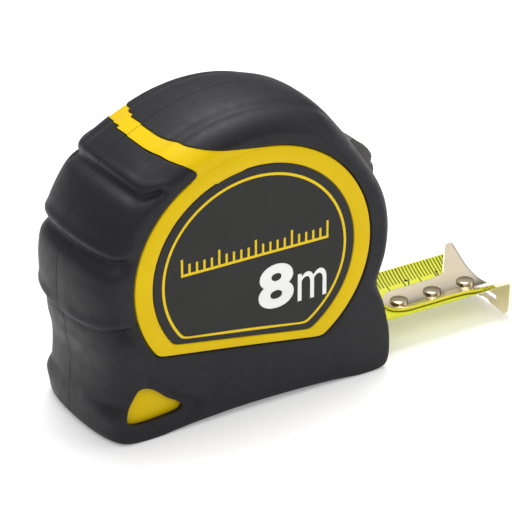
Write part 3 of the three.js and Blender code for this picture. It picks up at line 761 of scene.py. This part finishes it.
def lock_cutters():
    w = LOCK_SLOT_HALF_WIDTH
    slot = prism("slot", sector_outline(30.1, 52, 31.9, -14), "Y", -w, w)
    track = prism("track", sector_outline(30.05, 36, 31.8, -52), "Y", -w + 0.02, w - 0.02)
    return [slot, track]


def circle(radius, x, z, count=40):
    angles = np.arange(count) / count * 2 * math.pi
    return np.stack([x + radius * np.cos(angles), z + radius * np.sin(angles)], axis=1)


def screw_cutters(clearance):
    made = []
    for x, z in SCREW_PLACES:
        made.append(prism("bore", circle(1.3 + clearance, x, z), "Y", -11, 13))
        made.append(prism("counterbore", circle(2.2 + clearance, x, z), "Y", 12.4 - clearance, 20))
    return made


def grip_cutters(side):
    inner = HALF_WIDTH - RUBBER - 1
    window = prism("window", window_outline(), "Y", *sorted((side * inner, side * 20)))
    return [*stripe_prisms(side, 0), window, *mouth_cutters(), *lock_cutters(), *screw_cutters(GAP)]


# ---- case pieces ----


def ring_cap(side):
    """The raised oval trim with the label's recess, with chamfered edges."""
    theta = np.linspace(0, 2 * math.pi, 240, endpoint=False)
    outer = cut_oval_radius(theta, RING_OUTER, CHORD_OUTER, 0.25)
    inner = cut_oval_radius(theta, RING_INNER, CHORD_INNER)
    face = HALF_WIDTH - TRIM_SINK - 0.05
    floor = LABEL_FLOOR - 0.15
    levels = [
        (inner * 0.2, floor), (inner * 0.6, floor), (inner, floor),
        (inner, face - 0.25), (inner + 0.08, face - 0.08), (inner + 0.25, face),
        (outer - 0.35, face), (outer - 0.12, face - 0.1), (outer, face - 0.35),
        (outer, 15.0), (inner * 0.2, 15.0),
    ]
    loops = [round_loop(r, theta, side * y) for r, y in levels]
    return capped_mesh("ring", np.array(loops))


def half_space(side):
    near = PARTING_Y + side * (GAP / 2 - 0.05)
    span = (-30, near) if side < 0 else (near, 30)
    return prism("half", [(-60, -5), (60, -5), (60, 90), (-60, 90)], "Y", *span)


def shell(name, side):
    """One half of the yellow case: body under the rubber, raised ring, and stripe over the top."""
    body = case_solid(name, RUBBER + GAP)
    for band in stripe_prisms(side, GAP * 0.8):
        band = boolean(band, [case_solid("band", TRIM_SINK + SKIN + 0.05)], "INTERSECT")
        boolean(body, [band], "UNION")
    boolean(body, [ring_cap(side)], "UNION")
    boolean(body, [half_space(side)], "INTERSECT")
    w = CAVITY_HALF_WIDTH
    cavity = prism("cavity", circle(CAVITY_RADIUS, 0, REEL_Z, 96), "Y", -w, w)
    post = prism("post", circle(4.3, 0, REEL_Z), "Y", -15.8, 15.8)
    clip_bore = prism("clip bore", circle(1.6, 0, 54), "Y", w + 1, 20)
    hollows = [cavity, post, clip_bore, *mouth_cutters(), *lock_cutters(), *screw_cutters(GAP)]
    return boolean(body, hollows)


def label_plate(name, side):
    """The label disc in its recess. The left one has a bore for the clip's screw."""
    theta = np.linspace(0, 2 * math.pi, 240, endpoint=False)
    edge = cut_oval_radius(theta, RING_INNER, CHORD_INNER, GAP * 0.6)
    levels = [
        (edge * 0.5, LABEL_FLOOR), (edge, LABEL_FLOOR), (edge, LABEL_FACE - 0.12),
        (edge - 0.12, LABEL_FACE), (edge * 0.5, LABEL_FACE),
    ]
    loops = [round_loop(r, theta, side * y) for r, y in levels]
    plate = capped_mesh(name, np.array(loops))
    if side > 0:
        boolean(plate, [prism("bore", circle(1.6, 0, 54), "Y", 17, 19)])
    return plate


CASE_LAYERS = (
    (grip, "grip", "grip_rubber", "rubber", "grip"),
    (shell, "shell", "yellow_plastic", "yellow", "case_shell"),
    (label_plate, "label", "label", "label", "label"),
)


def build_case():
    for word, side in SIDES.items():
        for make, part, slot, paint, node in CASE_LAYERS:
            piece = finish_mesh(make(f"{word}_{part}", side))
            ride_as(piece, "case", slot, PAINTS[paint], f"{node}_{word}")


# ---- blade ----


def cup_z(y, lift):
    """Height of the cupped section at y, at a distance above the blade's hollow side."""
    return CUP_Z - np.sqrt((CUP_RADIUS - lift) ** 2 - np.square(y))


def blade_strip():
    """The straight part of the cupped blade, with holes for the rivets."""
    front = HOOK_FRONT_X - HOOK_THICKNESS - BEND_BEVEL - HOOK_PLAY - GAP
    reach = math.asin(BLADE_HALF_CHORD / CUP_RADIUS)
    angles = np.linspace(-reach, reach, 49)
    top = np.stack([CUP_RADIUS * np.sin(angles), CUP_Z - CUP_RADIUS * np.cos(angles)], axis=1)
    outer = CUP_RADIUS + BLADE_THICKNESS
    under = np.stack([outer * np.sin(angles), CUP_Z - outer * np.cos(angles)], axis=1)[::-1]
    under[:, 0] *= BLADE_HALF_CHORD / under[0, 0]
    loop = np.vstack([top, under])
    rows = [np.column_stack([np.full(len(loop), x), loop]) for x in np.linspace(BLADE_TAIL_X, front, 60)]
    strip = capped_mesh("printed_blade", np.array(rows))
    holes = [circle(RIVET_SHANK + RIVET_PLAY, HOOK_FRONT_X - back, 0) for back in RIVET_BACK]
    return boolean(strip, [prism("hole", hole, "Z", 0, 20) for hole in holes])


INK = 0.03  # height of the printing above the surface
TICK_LENGTHS = ((10, 5.6), (5, 5.2), (1, 3.9))  # every so many millimetres, length of the mark


def tick_part(x, width, y0, y1, steps=6):
    """A printed line across the blade, laid over the cupped surface, as (points, faces)."""
    rows = []
    for y in np.linspace(y0, y1, steps + 1):
        low, high = cup_z(y, -0.05), cup_z(y, INK)
        rows.append([(x - width / 2, y, low), (x + width / 2, y, low), (x + width / 2, y, high),
                     (x - width / 2, y, high)])
    faces = grid_faces(steps + 1, 4, False, True).tolist()
    faces += [[3, 2, 1, 0], [steps * 4 + k for k in range(4)]]
    return np.array(rows), faces


def blade_print():
    """Millimetre graduations from the hook's face backwards, with a figure at each centimetre."""
    parts = []
    far = BLADE_HALF_CHORD - 0.15
    for back in range(4, 76):
        x = HOOK_FRONT_X - back
        length = next(size for step, size in TICK_LENGTHS if back % step == 0)
        width = 0.34 if back % 10 == 0 else 0.27
        parts.append(tick_part(x, width, far - length, far))
        parts.append(tick_part(x, width, -far, -far + 0.55 * length))
        if back % 10 == 0:
            points, faces = lettering(str(back // 10), 2.2, 1.0, 0.01)
            placed = points + np.array([x + 0.5, far - length + 0.1, 0])
            placed[:, 2] = cup_z(placed[:, 1], np.where(points[:, 2] > 0.5, INK, -0.05))
            parts.append((placed, faces))
    return joined_mesh("blade_graduations", parts)


# ---- hook ----

HOOK_BEND = 1.5  # outside radius of the bend
WING_FLAT_Y = 9.0  # the wings are flat outside this


def hook_top(y):
    """Height of the upper face of the hook's strap and wings at y."""
    lift = GAP + HOOK_THICKNESS
    middle = min(abs(y), WING_FLAT_Y)
    slope = WING_FLAT_Y / math.sqrt((CUP_RADIUS - lift) ** 2 - WING_FLAT_Y**2)
    return float(cup_z(middle, lift)) + 0.93 * slope * (abs(y) - middle)


def hook_section(y):
    """Side view of the bent sheet at y, as a closed loop of (x, y, z)."""
    top = hook_top(y)
    across = 0.62 if abs(y) > WING_FLAT_Y else abs(y) / math.sqrt(CUP_RADIUS**2 - y**2)
    thick = HOOK_THICKNESS * math.sqrt(1 + 0.6 * across**2)
    tail = HOOK_FRONT_X - STRAP_REAR - 1
    turns = np.linspace(0, math.pi / 2, 9)
    inner = max(HOOK_BEND - HOOK_THICKNESS, 0.2)
    centre_x, centre_z = HOOK_FRONT_X - HOOK_BEND, top - HOOK_BEND
    outer_bend = [(centre_x + HOOK_BEND * math.sin(a), centre_z + HOOK_BEND * math.cos(a)) for a in turns]
    low_z = top - thick - inner
    inner_bend = [(centre_x + inner * math.sin(a), low_z + inner * math.cos(a)) for a in turns[::-1]]
    foot = [(HOOK_FRONT_X, HOOK_BOTTOM_Z - 0.5), (HOOK_FRONT_X - HOOK_THICKNESS, HOOK_BOTTOM_Z - 0.5)]
    loop = [(tail, top), *outer_bend, *foot, *inner_bend, (tail, top - thick)]
    return [(x, y, z) for x, z in loop]


def mirrored(half):
    """A closed outline from its half on the positive side of its first coordinate, read back to front."""
    return half + [(-a, b) for a, b in reversed(half)]


def hook_plan():
    """The hook from above as (y, x): strap with a round tail, then the wings."""
    tail = HOOK_FRONT_X - STRAP_REAR
    w = STRAP_HALF_WIDTH
    turns = np.radians(np.linspace(8, 90, 9))
    half = [(w * math.sin(a), tail + w * (1 - math.cos(a))) for a in turns]
    edge = [(w, WING_REAR + 4), (w + 0.7, WING_REAR), (w + 2.0, 7.8), (11.9, 4.0), (12.7, 3.1), (13, 2.2)]
    wing = catmull_rom_open([(y, HOOK_FRONT_X - back) for y, back in edge], 4)
    return mirrored(half + wing + [(13, HOOK_FRONT_X + 1)])


def hook():
    """The bent sheet trimmed to its outlines, with the nail slot and the rivets' slots."""
    rows = [hook_section(y) for y in np.linspace(-13.3, 13.3, 81)]
    sheet = capped_mesh("end_hook", np.array(rows))
    plan = [(x, y) for y, x in hook_plan()]
    b = HOOK_BOTTOM_Z
    notch = [(0.8, b + 0.5), (1.4, b + 1), (4.0, b + 1), (4.6, b + 0.5)]
    corner = [(10.8, b), (11.6, b + 0.3), (12.4, b + 1.2), (12.8, b + 2.6), (13, b + 5)]
    front = mirrored([*notch, *corner, (13, 20)])
    boolean(sheet, [prism("plan", plan, "Z", -5, 30), prism("front", front, "X", 40, 90)], "INTERSECT")
    nail = prism("nail", rounded_box_outline(-7.5, 7.5, b + 1.9, b + 3.6, 0.8), "X", 70, 90)
    slots = []
    for back in RIVET_BACK:
        x = HOOK_FRONT_X - back
        r = RIVET_SHANK + RIVET_PLAY
        slot = rounded_box_outline(x - r, x + HOOK_PLAY + r, -r, r, r * 0.98)
        slots.append(prism("slot", slot, "Z", 2.5, 20))
    return boolean(sheet, [nail, *slots])


def rivet(name, back):
    """Rivet with a domed head above the strap and a flat head under the blade."""
    under = BLADE_EDGE_Z - BLADE_SAGITTA - BLADE_THICKNESS
    strap = BLADE_EDGE_Z - BLADE_SAGITTA + GAP + HOOK_THICKNESS
    r = 2.4
    turns = np.radians([10, 22, 35, 48, 60, 72, 82])
    dome = [(r * math.cos(a), strap + 0.4 + 0.55 * math.sin(a)) for a in turns]
    profile = [
        (0.3, under - 0.5), (1.7, under - 0.5), (1.9, under - 0.35), (1.9, under - 0.06),
        (RIVET_SHANK, under - 0.05), (RIVET_SHANK, strap + 0.06),
        (r - 0.06, strap + 0.06), (r, strap + 0.14), (r, strap + 0.4), *dome,
    ]
    return turned_mesh(name, profile, (HOOK_FRONT_X - back, 0, 0), "Z")


def build_blade():
    ride_as(finish_mesh(blade_strip()), "blade", "blade_lacquer", PAINTS["blade"], "blade_strip")
    ride_as(blade_print(), "blade", "blade_lacquer", PAINTS["blade ink"])
    ride_as(finish_mesh(hook(), 40), "hook", "nickel", PAINTS["nickel"], "hook")
    # The rivets take the darker nickel, painted shade for the dark surroundings they reflect.
    for i, back in enumerate(RIVET_BACK, 1):
        piece = finish_mesh(rivet(f"hook_rivet_{i}", back))
        ride_as(piece, "blade", "nickel", PAINTS["rivet"], f"rivet_{i}")


# ---- blade lock ----

# Side view of the thumb button, as (degrees, radius) about the reel axis.
THUMB = [
    (2, 38.6), (5, 39.6), (8, 40.6), (10.4, 41.5), (11.9, 41.9), (13, 42.3), (14.2, 42.6), (15.6, 42.7),
    (16.6, 42.6), (17.4, 42.3), (18, 42.6), (19, 43.0), (20.1, 43.1), (22.5, 42.7), (25, 42), (27, 41.2),
    (29.5, 40.5), (30.5, 39.9), (31, 38),
]
THUMB_POCKET = [(29.2, 46), (29.2, 39.2), (27, 40.0), (25, 40.8), (22.9, 41.4), (22.9, 46)]


def lock_button():
    """The thumb button with its two pockets, on the arm that reaches down to the brake pad."""
    w = LOCK_HALF_WIDTH
    thumb_outline = [polar(*p) for p in THUMB] + [polar(a, 34.4) for a in np.linspace(31, 2, 8)]
    button = rounded_prism("lock_thumb_button", thumb_outline, "Y", -THUMB_HALF_WIDTH, THUMB_HALF_WIDTH, 0.9)
    pocket = [polar(*p) for p in THUMB_POCKET]
    pockets = [prism("pocket", pocket, "Y", *span) for span in ((-5.2, -0.4), (0.4, 5.2))]
    boolean(button, pockets)
    crank = [polar(-27, 35.2), polar(-27, 33.2), polar(-38, 26.9), polar(-42, 29.4), polar(-33, 35.2)]
    foot = [(2, 7.2), (7, 7.2), polar(-72, 29.4), polar(-72, 26.9), (2, 11.7)]
    raised_foot = [turned(point, LOCK_TRAVEL) for point in foot]
    arms = [
        prism("arm", sector_outline(33.2, 35.2, 31, -28), "Y", -w, w),
        prism("crank", crank, "Y", -w, w),
        prism("link", sector_outline(26.9, 29.4, -40, -63), "Y", -BRAKE_HALF_WIDTH, BRAKE_HALF_WIDTH),
        prism("foot", raised_foot, "Y", -BRAKE_HALF_WIDTH, BRAKE_HALF_WIDTH),
    ]
    return boolean(button, arms, "UNION")


def build_lock():
    ride_as(finish_mesh(lock_button(), 32), "lock", "black_plastic", PAINTS["black"], "lock_button")


# ---- belt clip ----

CLIP_PINCH = ((20.5, 20.4), (20.2, 19.3), (20.6, 17.9), (22.1, 15.5))  # inner (y, z) at the leaf's lower end


def clip_profile():
    """Side view (y, z) of the clip's strip: tab, bend, leaf, pinch and lifted tip."""
    middle = CLIP_TAB_Y + CLIP_THICKNESS + CLIP_BEND_RADIUS
    turns = np.radians(np.linspace(180, 0, 25))
    r = CLIP_BEND_RADIUS
    bend = [(middle + r * math.cos(a), CLIP_TOP + r * math.sin(a)) for a in turns]
    leaf_y = middle + CLIP_BEND_RADIUS
    straight = [(leaf_y, z) for z in np.linspace(57, 26.5, 10)]
    low = catmull_rom_open([(leaf_y, 25.5), (leaf_y - 1.2, 23.6), *CLIP_PINCH], 5)
    tab = [(CLIP_TAB_Y + CLIP_THICKNESS, z) for z in (49, 52, 55, 58)]
    inner = np.array(tab + bend + straight + low)
    step = np.gradient(inner, axis=0)
    step /= np.linalg.norm(step, axis=1)[:, None]
    outer = inner + np.stack([-step[:, 1], step[:, 0]], axis=1) * CLIP_THICKNESS
    return np.vstack([inner, outer[::-1]])


def belt_clip():
    """The whole clip as one strip, with its screw hole and the hole that lets a driver reach it."""
    w = CLIP_HALF_WIDTH
    strip = rounded_prism("belt_clip", clip_profile(), "X", -w, w, 0.22, 3)
    shape = rounded_box_outline(-w - 0.01, w + 0.01, 14.2, 90, 4.5)
    boolean(strip, [prism("shape", shape, "Y", 10, 40)], "INTERSECT")
    screw = prism("bore", circle(1.6, 0, CLIP_SCREW_Z), "Y", 10, 22)
    access = prism("access", circle(3.6, 0, CLIP_SCREW_Z), "Y", 23, 40)
    return boolean(strip, [screw, access])


def cross_screw(name, x, z, tip, under, radius, height, cross):
    """A screw along Y with a pan head and a cross recess."""
    top = under + height
    turns = np.radians([0, 25, 50, 72])
    head = [(radius * math.cos(a), top - 0.55 * height * (1 - math.sin(a))) for a in turns]
    shank = [(0.3, tip), (0.8, tip + 0.6), (1.3, tip + 1.4), (1.3, under)]
    profile = [*shank, (radius - 0.08, under), (radius, under + 0.1), *head, (radius * 0.15, top)]
    made = turned_mesh(name, profile, (x, 0, z), "Y")
    wide, thin = cross
    bars = [rounded_box_outline(x - a, x + a, z - b, z + b, 0.12, 2) for a, b in ((wide, thin), (thin, wide))]
    return boolean(made, [prism("bar", bar, "Y", top - 0.8, top + 1) for bar in bars])


def build_clip():
    clip = finish_mesh(belt_clip())
    coat(clip, PAINTS["clip"])
    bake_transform(clip)
    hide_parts("belt_clip_root", "belt_clip_leaf")
    screw = cross_screw("clip_screw", 0, CLIP_SCREW_Z, 14.7, 20.05, 2.9, 1.3, (1.6, 0.35))
    ride_as(finish_mesh(screw), "case", "zinc_steel", PAINTS["zinc"], "belt_clip_screw")
    for i, (x, z) in enumerate(SCREW_PLACES, 1):
        screw = cross_screw(f"shell_screw_{i}", x, z, -10, 12.4, 2.2, 1.5, (1.3, 0.3))
        ride_as(finish_mesh(screw), "case", "zinc_steel", PAINTS["zinc"], f"case_screw_{i}")


# ---- printing on the label ----

LINE_OVAL = (25.4, 23.3)
LINE_CHORD = ((-20.2, 24.5), (13.9, 19.2))
LINE_WIDTH = 0.7
INK_ROOT = 0.03  # the printing reaches this far into the label
PRINT_BACK = -(LABEL_FACE - INK_ROOT)
PRINT_FRONT = -(LABEL_FACE + INK)
SIZE_MARK_Z = 25.7
RULER_Z = 41.3


def label_line():
    """The thin yellow line that follows the label's edge."""
    theta = np.linspace(0, 2 * math.pi, 240, endpoint=False)
    outer = cut_oval_radius(theta, LINE_OVAL, LINE_CHORD)
    inner = outer - LINE_WIDTH
    levels = [(inner, PRINT_BACK), (outer, PRINT_BACK), (outer, PRINT_FRONT), (inner, PRINT_FRONT)]
    loops = [round_loop(r, theta, y) for r, y in levels]
    return ring_mesh("label_line", np.array(loops))


def label_size_mark():
    """The plain size mark in white: an 8 and a smaller m."""
    parts = []
    letters = (("8", 9.9, 11.7, 0.7, 0.035), ("m", 8.2, 7.4, 11.7, 0.0))
    for text, width, height, x, weight in letters:
        points, faces = lettering(text, height, INK + INK_ROOT, weight)
        points[:, 0] *= width / points[:, 0].max()
        placed = np.stack([x + points[:, 0], PRINT_BACK - points[:, 2], SIZE_MARK_Z + points[:, 1]], axis=1)
        parts.append((placed, faces))
    return joined_mesh("label_size_mark", parts)


def block_part(x0, x1, z0, z1):
    """A flat printed block on the label, as (points, faces)."""
    rows = [[(x0, y, z0), (x1, y, z0), (x1, y, z1), (x0, y, z1)] for y in (PRINT_BACK, PRINT_FRONT)]
    return np.array(rows), grid_faces(2, 4, False, True).tolist() + [[3, 2, 1, 0], [4, 5, 6, 7]]


def label_ruler():
    """A row of ruler marks, as a plain ornament."""
    parts = [block_part(-20.3, 20.3, RULER_Z - 0.7, RULER_Z)]
    for i in range(21):
        x = -20 + 2 * i
        height = 3.9 if i % 5 == 0 else 2.4
        parts.append(block_part(x - 0.3, x + 0.3, RULER_Z, RULER_Z + height))
    return joined_mesh("label_ruler", parts)


def build_label_print():
    ride_as(label_line(), "case", "label", PAINTS["label yellow"])
    ride_as(label_size_mark(), "case", "label", PAINTS["label white"])
    ride_as(label_ruler(), "case", "label", PAINTS["label yellow"])


build_case()
build_label_print()
build_blade()
build_lock()
build_clip()

# ---- CAD pieces that keep their shape ----

KEPT_NODES = {
    "mouth_shoe": "grey", "centre_post": "grey", "mainspring": "spring", "reel_drum": "grey",
    "reel_cover": "grey", "blade_coil": "blade", "brake_pad": "rubber",
}


def paint_kept_nodes():
    for node, paint in KEPT_NODES.items():
        coat(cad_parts[node], PAINTS[paint])


paint_kept_nodes()

# ---- floor, lights and camera ----


def build_floor():
    """A plain pale floor that glows a little, so that it stays near white."""
    size, z = 4000, -0.05
    corners = [(-size, -size, z), (size, -size, z), (size, size, z), (-size, size, z)]
    floor = mesh_object("floor", corners, [(0, 1, 2, 3)])
    nodes = Nodes("floor paper")
    tone = nodes.mixed(nodes.noise(3), (0.80, 0.80, 0.80), (0.83, 0.83, 0.83))
    floor.data.materials.append(
        nodes.set(Base_Color=tone, Roughness=0.85, Emission_Color=(1, 1, 1, 1), Emission_Strength=0.25))


def aimed(name, data, place, target):
    """A lamp or camera at place, looking at target."""
    made = bpy.data.objects.new(name, data)
    made.location = place
    made.rotation_euler = (Vector(target) - Vector(place)).to_track_quat("-Z", "Y").to_euler()
    bpy.context.scene.collection.objects.link(made)
    return made


def area_light(name, place, target, size, power):
    light = bpy.data.lights.new(name, "AREA")
    light.shape = "DISK"
    light.size = size
    light.energy = power
    aimed(name, light, place, target)


def build_light():
    """A pale studio: bright overhead, darker towards the walls, with three soft lamps."""
    world = bpy.data.worlds.new("studio")
    bpy.context.scene.world = world
    world.use_nodes = True
    tree = world.node_tree
    background = tree.nodes["Background"]
    place = tree.nodes.new("ShaderNodeTexCoord")
    split = tree.nodes.new("ShaderNodeSeparateXYZ")
    ramp = tree.nodes.new("ShaderNodeMapRange")
    ramp.interpolation_type = "SMOOTHSTEP"
    for key, value in (("From Min", -0.05), ("From Max", 0.8), ("To Min", 0.08), ("To Max", 0.85)):
        ramp.inputs[key].default_value = value
    tree.links.new(place.outputs["Generated"], split.inputs["Vector"])
    tree.links.new(split.outputs["Z"], ramp.inputs["Value"])
    tree.links.new(ramp.outputs["Result"], background.inputs["Strength"])
    background.inputs["Color"].default_value = (1, 1, 1, 1)
    middle = (0, 0, 0.04)
    area_light("key", (-0.35, -0.55, 0.75), middle, 0.5, 1.7)
    area_light("top", (0.15, 0.25, 0.9), middle, 0.6, 6.5)
    area_light("fill", (0.8, -0.5, 0.35), middle, 0.5, 1.2)


def build_camera():
    camera = bpy.data.cameras.new("camera")
    camera.sensor_width = 36
    camera.lens = 169.03
    camera.clip_start = 0.01
    camera.clip_end = 20
    place, target = (-0.273756, -0.463964, 0.300998), (0.008793, -0.008128, 0.031964)
    bpy.context.scene.camera = aimed("camera", camera, place, target)


build_floor()
build_light()
build_camera()
bpy.context.scene.view_settings.view_transform = "Standard"
bpy.context.scene.view_settings.look = "None"
